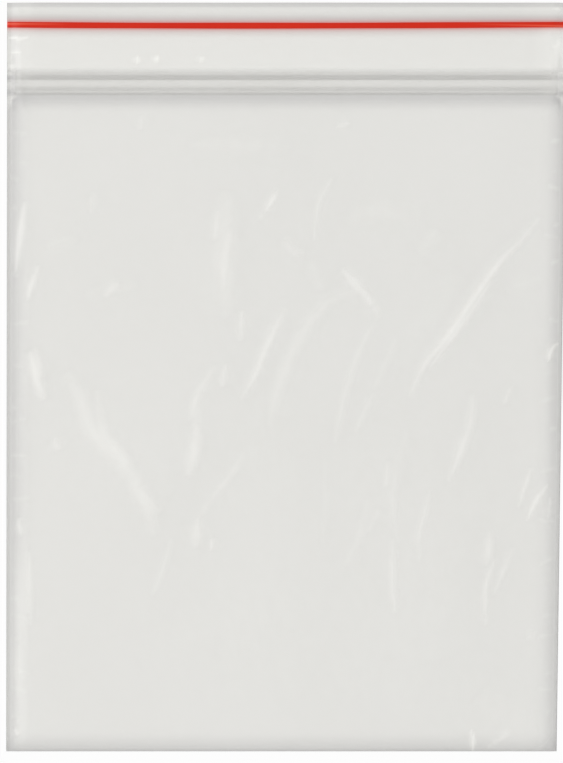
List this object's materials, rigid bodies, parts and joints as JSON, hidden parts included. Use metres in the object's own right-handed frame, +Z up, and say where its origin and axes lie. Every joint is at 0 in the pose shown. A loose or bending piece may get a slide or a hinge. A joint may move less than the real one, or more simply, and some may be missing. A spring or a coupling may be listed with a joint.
{
  "type": "zipper bag",
  "caption": "Flat, empty press-to-close bag of clear film with a rib and channel zip below open lips, each lip with a red line, lying on its back panel.",
  "frame": {"origin": "on the surface that the bag lies on, under the middle of the box round the bag", "axes": "+X across the bag to the right, +Y from the bottom fold to the mouth, +Z up through the back panel to the front panel"},
  "size_m": [0.1282, 0.1712, 0.0031],
  "materials": {
    "film": "clear, slightly milky polythene film, soft gloss with fine creases",
    "zip_plastic": "clear extruded polythene, soft gloss",
    "red_line": "coloured polythene bead, soft gloss"
  },
  "bodies": {
    "root": {"bag_film": "film", "zip_rib_strip": "zip_plastic", "zip_channel_strip": "zip_plastic", "red_line_front": "red_line", "red_line_back": "red_line"}
  },
  "joints": []
}
